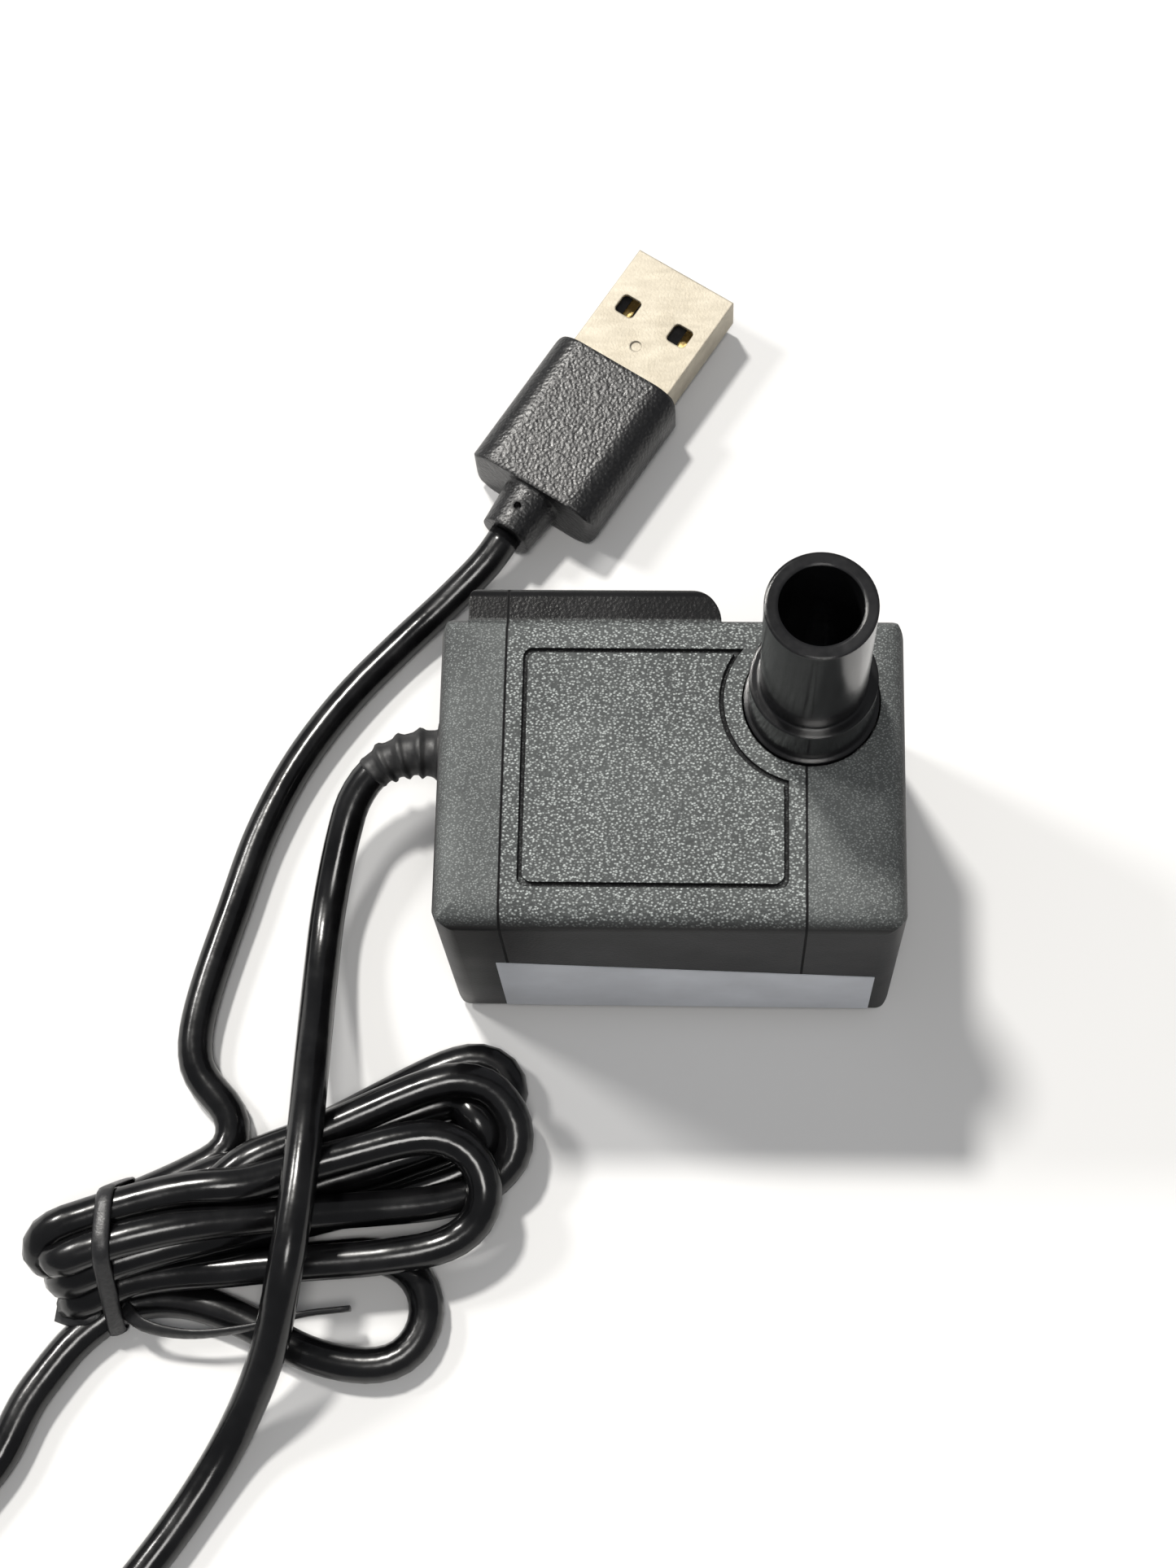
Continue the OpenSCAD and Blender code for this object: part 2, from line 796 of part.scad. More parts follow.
main_housing();
rear_cover();
intake_cover();
volute_casing();
chamber_seal();
rear_bush();
front_bush();
rotor_shaft();
thrust_washers();
rotor_magnet();
rotor_carrier();
impeller();
stator_core();
coil_bobbin();
coil_winding();
coil_leads();
circuit_board();
board_parts();
potting();
data_label();
cord_gland();
cord_pump_side();
cord_hank();
cord_tie();
cord_plug_side();
plug_overmold();
plug_shell();
plug_insulator();
plug_contacts();
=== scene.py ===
import math
import bmesh
import bpy
import numpy as np
from mathutils import Matrix, Quaternion, Vector


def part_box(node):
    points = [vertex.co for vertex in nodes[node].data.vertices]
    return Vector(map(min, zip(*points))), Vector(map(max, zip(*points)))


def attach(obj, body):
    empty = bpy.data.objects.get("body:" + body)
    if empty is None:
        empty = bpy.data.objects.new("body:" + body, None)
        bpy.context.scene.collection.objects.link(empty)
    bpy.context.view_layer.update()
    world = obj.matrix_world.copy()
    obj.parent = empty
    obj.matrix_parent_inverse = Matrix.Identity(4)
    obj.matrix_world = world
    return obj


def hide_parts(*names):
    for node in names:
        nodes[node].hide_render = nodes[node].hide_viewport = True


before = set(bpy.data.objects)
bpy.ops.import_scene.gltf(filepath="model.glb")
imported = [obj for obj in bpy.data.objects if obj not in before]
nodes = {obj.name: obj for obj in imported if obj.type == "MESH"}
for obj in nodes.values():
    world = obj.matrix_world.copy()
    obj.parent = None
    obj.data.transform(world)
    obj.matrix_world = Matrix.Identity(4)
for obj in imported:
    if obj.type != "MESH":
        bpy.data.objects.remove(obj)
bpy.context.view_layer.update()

MM = 0.001
scene = bpy.context.scene
ROOT = "pump_body"


# ---------------------------------------------------------------- camera

CAMERA_PLACE = Vector((3.7, -82.0, 267.7)) * MM
CAMERA_TARGET = Vector((-8.2, 2.1, 16.0)) * MM
CAMERA_ROLL = math.radians(7.2)
CAMERA_LENS = 62.8


def make_camera():
    data = bpy.data.cameras.new("camera")
    cam = bpy.data.objects.new("camera", data)
    scene.collection.objects.link(cam)
    scene.camera = cam
    fwd = (CAMERA_TARGET - CAMERA_PLACE).normalized()
    level = fwd.cross(Vector((0, 0, 1))).normalized()
    right = Quaternion(fwd, CAMERA_ROLL) @ level
    up = right.cross(fwd)
    rot = Matrix((right, up, -fwd)).transposed()
    cam.matrix_world = Matrix.Translation(CAMERA_PLACE) @ rot.to_4x4()
    data.sensor_width = 36
    data.lens = CAMERA_LENS
    data.clip_start = 0.005


make_camera()


# ---------------------------------------------------------------- the cord

# Lengths are in mm here, as in the CAD source, and become metres in the meshes.
CORD_D = 3.5
CORD_R = CORD_D / 2
# How near two turns may lie, how far they sink in a round, and how many rounds there are.
TURN_GAP = 3.35
SINK = 0.03
ROUNDS = 240
# The steps along the line before and after the turns are laid down.
ROUGH_STEP = 1.9
FINE_STEP = 1.2
# How firmly a turn keeps its place: anywhere, and more at the tie.
HOLD = 0.06
HOLD_AT_TIE = 0.5
# The two open routes repeat the CAD's points.
EXIT_ROUTE = [
    (-23.5, 7.5, 9), (-26, 7.5, 9), (-29.5, 6.4, 8.2), (-32, 3.6, 7),
    (-33.2, 0, 5.8), (-34.6, -7.6, 4), (-34.9, -14.6, 5), (-34.7, -23.8, 9),
    (-34.6, -32.3, 12), (-35, -39.5, 13), (-35.7, -44.7, 12.5),
    (-37.5, -51.7, 8), (-41, -58.8, 3), (-44.7, -65.2, 1.8),
    (-48.9, -71.4, 1.8), (-53.5, -77, 1.8), (-59.5, -81, 1.8),
    (-66, -80.5, 1.8), (-70, -76, 1.8), (-69.5, -70, 1.8),
    (-66.5, -65.5, 1.8), (-63.7, -61.5, 1.8), (-61, -55.5, 1.8),
]
PLUG_ROUTE = [
    (-18, 33.6, 4), (-19.7, 31, 3.6), (-23.6, 27, 2.5), (-28.9, 21.8, 1.8),
    (-34.4, 15.5, 1.8), (-39, 8.5, 1.8), (-42.3, 1, 1.8), (-44.6, -7, 1.8),
]
# The hank's frame: its tied end, and the directions along it and across it.
HANK_A = np.array((-56.0, -43.5))
HANK_TURN = math.atan2(-30 + 43.5, -20.5 + 56)
EU = np.array((math.cos(HANK_TURN), math.sin(HANK_TURN)))
EV = np.array((-EU[1], EU[0]))
# Each turn: its right-hand loop (along, across, radius, near and far height), then where its
# lower pass and its upper pass cross the tie (across, height).
TURNS = (
    ((24.3, -13.0, 5.7, 1.8, 1.8), (-4.5, 1.8), (-1.1, 1.8)),
    ((33.8, -4.9, 5.3, 5.2, 8.6), (-2.7, 4.8), (3.2, 9.9)),
    ((40.8, 3.7, 3.7, 1.8, 1.8), (0.6, 4.7), (2.0, 1.8)),
    ((37.8, -0.3, 3.9, 1.8, 4.6), (-1.0, 7.6), (3.6, 4.7)),
    ((38.2, -0.3, 5.2, 3.4, 7.2), (0.2, 10.3), (2.0, 7.4)),
)
LAST_PASS = (5.0, 1.8)
TIE_U = 3.0
FOLD_OUT = (2.9, 3.3, 2.6, 2.9, 3.2)
# The round hook with which the last pass leaves the hank, towards the plug.
HOOK = (
    (7.6, 5.3), (10.8, 5.2), (13.3, 5.3), (15.7, 6.3), (17.2, 8.4), (17.2, 10.9),
    (15.9, 13.0), (15.0, 15.4), (15.6, 18.2), (18.0, 22.4),
)


def hank_point(u, v, z):
    """A point given along the hank, across it and above the floor."""
    xy = HANK_A + u * EU + v * EV
    return (xy[0], xy[1], z)


def pass_point(u, tie, loop_u, v, z):
    """A point of a pass, between its place at the tie and its loop's end."""
    t = (u - TIE_U) / (loop_u - TIE_U)
    k = t * t * (3 - 2 * t)
    w = 0.35 * t + 0.65 * k
    return hank_point(u, tie[0] + (v - tie[0]) * w, tie[1] + (z - tie[1]) * k)


def hank_points():
    """The wound turns, from the pump side's end to the plug side's start."""
    pts = []
    for i, ((cu, cv, r, z0, z1), low, high) in enumerate(TURNS):
        steps = (TIE_U, 0.3 * cu, 0.6 * cu, 0.82 * cu)
        if i == 0:
            pts += [hank_point(0.0, -4.4, 1.8), hank_point(7.0, -5.6, 1.8),
                    hank_point(12.6, -9.8, 1.8), hank_point(17.4, -15.2, 1.8)]
        else:
            pts += [pass_point(u, low, cu, cv - r, z0) for u in steps]
        for a in range(-90, 91, 30):
            t = math.radians(a)
            pts.append(hank_point(cu + r * math.cos(t), cv + r * math.sin(t),
                                  (z0 + z1 + (z1 - z0) * math.sin(t)) / 2))
        pts += [pass_point(u, high, cu, cv + r, z1) for u in steps[::-1]]
        after = TURNS[i + 1][1] if i + 1 < len(TURNS) else LAST_PASS
        mid = ((high[0] + after[0]) / 2, (high[1] + after[1]) / 2)
        for a in (30, 60, 90, 120, 150):
            t = math.radians(a)
            pts.append(hank_point(-FOLD_OUT[i] * math.sin(t),
                                  mid[0] + (high[0] - mid[0]) * math.cos(t),
                                  mid[1] + (high[1] - mid[1]) * math.cos(t)))
    pts += [hank_point(TIE_U, *LAST_PASS)]
    pts += [hank_point(u, v, CORD_R + 0.05) for u, v in HOOK]
    return pts


def smooth_line(pts, step):
    """A Catmull-Rom line through the points, cut to even steps."""
    p = np.array(pts, float)
    p = np.vstack((2 * p[0] - p[1], p, 2 * p[-1] - p[-2]))
    out = []
    for i in range(1, len(p) - 2):
        a, b, c, d = p[i - 1:i + 3]
        ta = max(np.linalg.norm(b - a), 1e-6) ** 0.5
        tb = ta + max(np.linalg.norm(c - b), 1e-6) ** 0.5
        tc = tb + max(np.linalg.norm(d - c), 1e-6) ** 0.5
        for t in np.linspace(ta, tb, 16, endpoint=False):
            a1 = (ta - t) / ta * a + t / ta * b
            a2 = (tb - t) / (tb - ta) * b + (t - ta) / (tb - ta) * c
            a3 = (tc - t) / (tc - tb) * c + (t - tb) / (tc - tb) * d
            b1 = (tb - t) / tb * a1 + t / tb * a2
            b2 = (tc - t) / (tc - ta) * a2 + (t - ta) / (tc - ta) * a3
            out.append((tb - t) / (tb - ta) * b1 + (t - ta) / (tb - ta) * b2)
    out.append(p[-2])
    return even_line(np.array(out), step)


def even_line(line, step):
    """The same line, cut to even steps."""
    s = np.concatenate(([0], np.cumsum(np.linalg.norm(np.diff(line, axis=0), axis=1))))
    n = int(round(s[-1] / step)) + 1
    t = np.linspace(0, s[-1], n)
    return np.stack([np.interp(t, s, line[:, k]) for k in range(3)], axis=1)


def settle(line, ease, pull):
    """Lays the turns down: they push each other apart, sink, and keep their length."""
    home = line.copy()
    p = line.copy()
    n = len(p)
    rest = np.linalg.norm(np.diff(p, axis=0), axis=1).mean()
    apart = np.abs(np.subtract.outer(np.arange(n), np.arange(n))) > 4
    for _ in range(ROUNDS):
        d = p[:, None] - p[None]
        dist = np.sqrt((d ** 2).sum(2)) + 1e-9
        near = apart & (dist < TURN_GAP)
        push = np.where(near, (TURN_GAP - dist) / 2, 0) / dist
        move = (push[:, :, None] * d).sum(1)
        size = np.linalg.norm(move, axis=1, keepdims=True)
        move *= np.minimum(1, 0.4 / np.maximum(size, 1e-9))
        move[:, 2] -= SINK
        move += pull * (home - p)
        p += 0.6 * move * ease
        bend = np.zeros_like(p)
        bend[1:-1] = 0.5 * (p[:-2] + p[2:]) - p[1:-1]
        p += 0.12 * bend * ease
        for _ in range(2):
            seg = np.diff(p, axis=0)
            length = np.linalg.norm(seg, axis=1, keepdims=True)
            fix = 0.4 * (1 - rest / length) * seg
            p[:-1] += fix * ease[:-1]
            p[1:] -= fix * ease[1:]
        p[:, 2] = np.maximum(p[:, 2], CORD_R)
    return p


def cord_line():
    """The whole cord's middle line, from the pump to the plug."""
    line = smooth_line(EXIT_ROUTE + hank_points() + PLUG_ROUTE[::-1], ROUGH_STEP)
    n = len(line)
    index = np.arange(n)
    # The open stretches, from the pump to the hank and on to the plug, stay put.
    first = int(np.argmin(((line - np.array(EXIT_ROUTE[-1])) ** 2).sum(1)))
    last = n - 1 - int(np.argmin(((line[::-1] - np.array(PLUG_ROUTE[-1])) ** 2).sum(1)))
    ease = np.clip(np.minimum(index - first, last - index) / 6.0, 0, 1)[:, None]
    u = (line[:, :2] - HANK_A) @ EU
    pull = (HOLD + HOLD_AT_TIE * np.exp(-((u - TIE_U) / 6) ** 2))[:, None]
    laid = smooth_line(settle(line, ease, pull), FINE_STEP)
    laid[:, 2] = np.maximum(laid[:, 2], CORD_R)
    return laid


LINE = cord_line()


def add_object(name, data):
    """A smooth-shaded piece that rides on the pump's body."""
    ob = bpy.data.objects.new(name, data)
    scene.collection.objects.link(ob)
    for poly in data.polygons:
        poly.use_smooth = True
    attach(ob, ROOT)
    return ob


def piece_from(bm, name):
    """Turns a finished bmesh into a piece, with its faces looking outwards."""
    bmesh.ops.recalc_face_normals(bm, faces=bm.faces)
    data = bpy.data.meshes.new(name)
    bm.to_mesh(data)
    bm.free()
    return add_object(name, data)


def skin_rings(bm, rings):
    """Joins rings of vertices into a skin that is closed at both ends."""
    n = len(rings[0])
    for a, b in zip(rings, rings[1:]):
        for k in range(n):
            bm.faces.new((a[k], a[(k + 1) % n], b[(k + 1) % n], b[k]))
    bm.faces.new(rings[0][::-1])
    bm.faces.new(rings[-1])


def tube_mesh(name, line, radius, sides=14):
    """A round tube along a line, closed at both ends."""
    p = np.array(line)
    t = np.gradient(p, axis=0)
    t /= np.linalg.norm(t, axis=1, keepdims=True)
    side = np.cross(t[0], (0.0, 0.0, 1.0))
    angles = np.linspace(0, 2 * math.pi, sides, endpoint=False)
    bm = bmesh.new()
    rings = []
    for c, d in zip(p, t):
        side = side - d * side.dot(d)
        side /= np.linalg.norm(side)
        up = np.cross(side, d)
        rings.append([bm.verts.new(tuple(
            (c + radius * (math.cos(a) * side + math.sin(a) * up)) * MM)) for a in angles])
    skin_rings(bm, rings)
    return piece_from(bm, name)


cord = tube_mesh("supply_cord", LINE, CORD_R)
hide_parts("cord_pump_side", "cord_hank", "cord_plug_side")


RELIEF_RINGS = 38
RELIEF_SIDES = 24
RELIEF_RIBS = 5
RELIEF_R = 3.0
RELIEF_TAPER = 0.95
RIB_DEEP = 0.38


def tapered_relief():
    """The ribbed rubber sleeve that carries the cord out of the rear cover."""
    steps = smooth_line([(-21.6, 7.5, 9.0)] + [tuple(q) for q in LINE[:12]], 0.25)
    steps = steps[:RELIEF_RINGS]
    n = len(steps)
    bm = bmesh.new()
    rings = []
    for i, c in enumerate(steps):
        t = i / (n - 1)
        ahead = Vector(steps[min(i + 1, n - 1)]) - Vector(steps[max(i - 1, 0)])
        rot = ahead.to_track_quat("Z", "Y")
        r = RELIEF_R - RELIEF_TAPER * t
        rib = 0.5 + 0.5 * math.cos(2 * math.pi * RELIEF_RIBS * t)
        r -= RIB_DEEP * (1 - rib ** 3) * min(1, 6 * t)
        r = max(r - 0.5 * max(0, t - 0.97) / 0.03, CORD_R + 0.05)
        rings.append([bm.verts.new((Vector(c) + rot @ Vector(
            (r * math.cos(a), r * math.sin(a), 0))) * MM)
            for a in np.linspace(0, 2 * math.pi, RELIEF_SIDES, endpoint=False)])
    skin_rings(bm, rings)
    return piece_from(bm, "strain_relief")


relief = tapered_relief()


# The twist tie: a flat band round the bundle and two tails.
BAND_SIDES = 10
TIE_W = 1.7
TAIL_W = 1.6
TIE_THICK = 0.6
TIE_AT = 2.9
TIE_LEAN = 0.36


def hull_2d(points):
    """The convex outline round some flat points."""
    points = sorted(map(tuple, points))

    def half(seq):
        out = []
        for q in seq:
            while len(out) > 1 and ((out[-1][0] - out[-2][0]) * (q[1] - out[-2][1])
                                    - (out[-1][1] - out[-2][1]) * (q[0] - out[-2][0])) <= 0:
                out.pop()
            out.append(q)
        return out[:-1]
    return half(points) + half(points[::-1])


def band_mesh(name, line, normals, width, thick=TIE_THICK):
    """A thin rounded band along a line, with the given outward directions."""
    bm = bmesh.new()
    rings = []
    n = len(line)
    for i in range(n):
        c = Vector(line[i])
        t = (Vector(line[min(i + 1, n - 1)]) - Vector(line[max(i - 1, 0)])).normalized()
        out = Vector(normals[i]).normalized()
        side = t.cross(out).normalized()
        ring = []
        for k in range(BAND_SIDES):
            a = 2 * math.pi * k / BAND_SIDES
            ring.append(bm.verts.new((c + side * (math.cos(a) * width / 2)
                                      + out * (math.sin(a) * thick / 2)) * MM))
        rings.append(ring)
    skin_rings(bm, rings)
    return piece_from(bm, name)


def make_tie(u0):
    """The band that goes round every pass of the cord at its place on the hank."""
    rel = LINE[:, :2] - HANK_A
    u = rel @ EU
    v = rel @ EV
    inside = (np.abs(u - u0 - TIE_LEAN * v) < 1.4) & (np.abs(v) < 9.5)
    pts = []
    for vv, zz in zip(v[inside], LINE[inside, 2]):
        for k in range(12):
            a = 2 * math.pi * k / 12
            r = CORD_R + 0.25
            pts.append((vv + r * math.cos(a), max(zz + r * math.sin(a), 0.35)))
    hull = hull_2d(pts)
    flat = np.array([(q[0], q[1], 0.0) for q in hull + hull[:1]])
    flat = even_line(flat, 0.8)
    centre = flat[:, :2].mean(0)
    line = [hank_point(u0 + TIE_LEAN * q[0], q[0], q[1]) for q in flat]
    outs = []
    for q in flat:
        d = q[:2] - centre
        outs.append((EV[0] * d[0], EV[1] * d[0], d[1]))
    line.append(line[1])
    outs.append(outs[1])
    return band_mesh("tie_band", line, outs, TIE_W)


tie_band = make_tie(TIE_AT)


def make_tail(name, pts, turn):
    """A loose end of the tie, turning from flat to on edge by the given amount."""
    line = smooth_line(pts, 1.0)
    outs = [(0.2, -0.5 - turn * 3 * t, 1.0 - turn * t) for t in np.linspace(0, 1, len(line))]
    return band_mesh(name, [tuple(q) for q in line], outs, TAIL_W)


tail_a = make_tail("tie_tail_a", [
    (-52.3, -47.6, 1.6), (-54.5, -48.4, 3.0), (-57.0, -48.6, 3.4), (-59.2, -47.9, 2.8)], 0.0)
tail_b = make_tail("tie_tail_b", [
    (-52.6, -47.2, 3.2), (-50.4, -49.0, 4.2), (-46.0, -49.8, 4.0), (-40.5, -49.2, 4.2),
    (-35.0, -47.8, 4.4), (-30.4, -47.2, 4.6)], 1.0)
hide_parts("cord_tie")


# ---------------------------------------------------------------- materials

class Mat:
    """Small helper to build a node material on a Principled shader."""

    def __init__(self, name):
        self.m = bpy.data.materials.new(name)
        self.m.use_nodes = True
        self.t = self.m.node_tree
        self.bsdf = self.t.nodes["Principled BSDF"]
        self.coord = self.t.nodes.new("ShaderNodeTexCoord")

    def set(self, **values):
        for key, value in values.items():
            self.bsdf.inputs[key.replace("_", " ")].default_value = value
        return self

    def node(self, kind, inputs=None, **props):
        n = self.t.nodes.new(kind)
        for key, value in props.items():
            setattr(n, key, value)
        for key, value in (inputs or {}).items():
            if hasattr(value, "is_output"):
                self.t.links.new(value, n.inputs[key])
            else:
                n.inputs[key].default_value = value
        return n

    def noise(self, scale, detail=3.0, rough=0.55, vector=None, distort=0.0):
        return self.node("ShaderNodeTexNoise", {
            "Vector": vector or self.coord.outputs["Object"], "Scale": scale,
            "Detail": detail, "Roughness": rough, "Distortion": distort}).outputs["Fac"]

    def cells(self, scale, feature="F1", vector=None, rand=1.0):
        return self.node("ShaderNodeTexVoronoi", {
            "Vector": vector or self.coord.outputs["Object"], "Scale": scale,
            "Randomness": rand}, feature=feature).outputs["Distance"]

    def stretch(self, scale):
        return self.node("ShaderNodeMapping", {
            "Vector": self.coord.outputs["Object"], "Scale": scale}).outputs["Vector"]

    def span(self, value, a, b, c, d):
        return self.node("ShaderNodeMapRange", {
            "Value": value, "From Min": a, "From Max": b, "To Min": c, "To Max": d,
        }).outputs["Result"]

    def calc(self, op, a, b=0.0):
        return self.node("ShaderNodeMath", {0: a, 1: b}, operation=op).outputs[0]

    def blend(self, fac, a, b):
        n = self.node("ShaderNodeMix", {0: fac, 6: a, 7: b}, data_type="RGBA")
        return n.outputs[2]

    def mix(self, fac, a, b):
        return self.node("ShaderNodeMix", {0: fac, 2: a, 3: b}, data_type="FLOAT").outputs[0]

    def link(self, out, name):
        self.t.links.new(out, self.bsdf.inputs[name])
        return self

    def bump(self, height, distance, strength=1.0, under=None):
        inputs = {"Height": height, "Distance": distance, "Strength": strength}
        if under is not None:
            inputs["Normal"] = under
        return self.node("ShaderNodeBump", inputs).outputs["Normal"]

    def soft_edge(self, radius):
        return self.node("ShaderNodeBevel", {"Radius": radius}, samples=6).outputs["Normal"]


def eroded_plastic_painted_light(name, grain, depth, light, painted_glint_level):
    """Black ABS off a spark-eroded mould: pitted grain on top, smoother sides. The top's lighter
    tone is partly the grain's grey and partly painted light, the bright specks are painted
    glints, and the grooves carry painted shade.
    """
    m = Mat(name)
    up = m.node("ShaderNodeSeparateXYZ", {0: m.coord.outputs["Normal"]}).outputs["Z"]
    place = m.node("ShaderNodeSeparateXYZ", {0: m.coord.outputs["Object"]})
    top = m.calc("MULTIPLY", m.span(up, 0.35, 0.8, 0.0, 1.0),
                 m.span(place.outputs["Y"], 0.0128, 0.0134, 1.0, 0.0))
    pits = m.cells(grain)
    fine = m.noise(grain * 1.6, 3.0, 0.75)
    glint = m.cells(grain * 1.1, vector=m.stretch((1.0, 1.4, 1.0)))
    height = m.calc("ADD", m.calc("MULTIPLY", pits, 0.9), m.calc("MULTIPLY", fine, 0.9))
    wide = m.noise(70, 3.0, 0.6)
    cloud = m.span(wide, 0.3, 0.7, 0, 1)
    m.link(m.bump(m.calc("MULTIPLY", height, m.span(top, 0, 1, 0.12, 1)), depth, 1.0,
                  m.soft_edge(0.00015)), "Normal")
    # Painted shade: an ambient-occlusion mask takes the top tone and the glints out of the
    # grooves, darkening them, and makes them rougher.
    groove_shade_ao = m.node("ShaderNodeAmbientOcclusion", {"Distance": 0.0006}, samples=16)
    clear = m.span(groove_shade_ao.outputs["AO"], 0.5, 0.85, 0.0, 1.0)
    for seam in SEAMS:
        away = m.calc("ABSOLUTE", m.calc("SUBTRACT", place.outputs["X"], seam))
        clear = m.calc("MULTIPLY", clear, m.span(away, 0.00008, 0.00017, 0.0, 1.0))
    shown = m.calc("MULTIPLY", top, clear)
    # Painted glints: bright specks painted into the top faces' base colour in place of light
    # sparkling off the grain.
    painted_glint = m.calc("MULTIPLY", m.span(glint, 0.08, 0.5, 1, 0), m.span(fine, 0.35, 0.6, 0.25, 1))
    painted_glint = m.calc("MULTIPLY", painted_glint, shown)
    # The top tone, lighter than the sides, is partly the eroded grain's own grey and partly
    # painted light on the up-facing faces, reaching onto the rounded near edge.
    sides = m.blend(cloud, (0.007, 0.007, 0.0074, 1), (0.012, 0.012, 0.0125, 1))
    top_grey_and_light = m.blend(cloud, (light * 0.75, light * 0.8, light * 0.8, 1),
                   (light * 1.2, light * 1.28, light * 1.27, 1))
    tint = m.blend(shown, sides, top_grey_and_light)
    m.link(m.blend(m.calc("MULTIPLY", painted_glint, painted_glint_level), tint, (0.62, 0.66, 0.65, 1)), "Base Color")
    smooth = m.calc("MULTIPLY", m.span(up, 0.35, 0.8, 0.0, -0.22), m.span(top, 0, 0.5, 1, 0))
    shine = m.mix(top, m.calc("ADD", m.span(wide, 0.3, 0.7, 0.34, 0.46), smooth),
                  m.span(fine, 0.3, 0.7, 0.38, 0.6))
    m.link(m.calc("MAXIMUM", shine, m.span(clear, 0, 1, 0.95, 0.2)), "Roughness")
    m.set(Specular_IOR_Level=0.1)
    return m.m


def gloss_plastic(name, colour=(0.005, 0.005, 0.0055), rough=(0.13, 0.22), edge=0.0004):
    m = Mat(name)
    wide = m.noise(160, 4.0, 0.6)
    marks = m.noise(1400, 3.0, 0.6, vector=m.stretch((1.0, 1.0, 0.12)))
    m.link(m.span(m.calc("ADD", m.calc("MULTIPLY", wide, 0.6), m.calc("MULTIPLY", marks, 0.4)),
                  0.3, 0.7, rough[0], rough[1]), "Roughness")
    m.link(m.bump(m.calc("ADD", wide, m.calc("MULTIPLY", marks, 0.12)), 0.00006, 0.5,
                  m.soft_edge(edge)), "Normal")
    c = colour
    m.link(m.blend(m.span(wide, 0.4, 0.7, 0, 1), (c[0], c[1], c[2], 1),
                   (c[0] * 1.8, c[1] * 1.8, c[2] * 1.8, 1)), "Base Color")
    m.set(Specular_IOR_Level=0.45)
    return m.m


def cord_pvc():
    m = Mat("cord_pvc_gloss")
    wide = m.noise(240, 3.0, 0.55)
    fine = m.noise(2600, 2.0, 0.5)
    m.link(m.span(wide, 0.3, 0.7, 0.15, 0.27), "Roughness")
    m.link(m.bump(m.calc("ADD", wide, m.calc("MULTIPLY", fine, 0.06)), 0.00018, 0.35), "Normal")
    m.link(m.blend(m.span(wide, 0.35, 0.7, 0, 1), (0.002, 0.002, 0.0023, 1),
                   (0.005, 0.005, 0.0054, 1)), "Base Color")
    m.set(Specular_IOR_Level=0.4)
    return m.m


def leather_pvc():
    """Soft overmould with a shallow pebbled grain."""
    m = Mat("overmould_leather")
    cell = m.cells(3000, "SMOOTH_F1")
    wrinkle = m.noise(1500, 4.0, 0.65, distort=0.4)
    height = m.calc("ADD", m.calc("MULTIPLY", cell, 0.7), m.calc("MULTIPLY", wrinkle, 0.6))
    m.link(m.bump(height, 0.0001, 0.8, m.soft_edge(0.0006)), "Normal")
    m.link(m.span(wrinkle, 0.3, 0.7, 0.28, 0.42), "Roughness")
    m.link(m.blend(m.span(cell, 0.1, 0.6, 0, 1), (0.008, 0.008, 0.0085, 1),
                   (0.003, 0.003, 0.0035, 1)), "Base Color")
    m.set(Specular_IOR_Level=0.5)
    return m.m


def matt_nickel():
    """Tumbled nickel sheet: warm, with faint drawing marks and handling scuffs."""
    m = Mat("matt_nickel")
    wide = m.noise(260, 4.0, 0.65)
    tiny = m.noise(3800, 3.0, 0.6)
    scratch = m.noise(900, 2.0, 0.5, vector=m.node("ShaderNodeMapping", {
        "Vector": m.coord.outputs["Object"], "Rotation": (0, 0, math.radians(-57.5)),
        "Scale": (0.3, 1.6, 1.0)}).outputs["Vector"])
    m.link(m.blend(m.span(wide, 0.3, 0.72, 0, 1), (0.38, 0.345, 0.28, 1),
                   (0.55, 0.51, 0.43, 1)), "Base Color")
    m.link(m.span(m.calc("ADD", m.calc("MULTIPLY", wide, 0.6), m.calc("MULTIPLY", scratch, 0.4)),
                  0.3, 0.7, 0.6, 0.74), "Roughness")
    m.link(m.bump(m.calc("ADD", tiny, m.calc("MULTIPLY", scratch, 0.8)), 0.00004, 0.8,
                  m.soft_edge(0.00025)), "Normal")
    m.set(Metallic=1.0)
    return m.m


def label_film():
    m = Mat("label_film")
    wide = m.noise(120, 4.0, 0.6)
    fibre = m.noise(2200, 3.0, 0.6)
    m.link(m.blend(m.span(wide, 0.35, 0.7, 0, 1), (0.42, 0.435, 0.47, 1),
                   (0.54, 0.56, 0.60, 1)), "Base Color")
    m.link(m.span(wide, 0.3, 0.7, 0.32, 0.5), "Roughness")
    m.link(m.bump(m.calc("ADD", m.calc("MULTIPLY", wide, 0.8), m.calc("MULTIPLY", fibre, 0.1)),
                  0.0001, 0.5), "Normal")
    return m.m


def plain_plastic(name, colour, rough=0.45, grain=1500, depth=0.00005, spec=0.5):
    m = Mat(name)
    wide = m.noise(200, 3.0, 0.6)
    fine = m.noise(grain, 3.0, 0.6)
    c = colour
    m.link(m.blend(m.span(wide, 0.35, 0.7, 0, 1), (c[0] * 0.85, c[1] * 0.85, c[2] * 0.85, 1),
                   (min(c[0] * 1.12, 1), min(c[1] * 1.12, 1), min(c[2] * 1.12, 1), 1)),
           "Base Color")
    m.link(m.span(fine, 0.3, 0.7, rough - 0.08, rough + 0.08), "Roughness")
    m.link(m.bump(fine, depth, 0.5, m.soft_edge(0.0002)), "Normal")
    m.set(Specular_IOR_Level=spec)
    return m.m


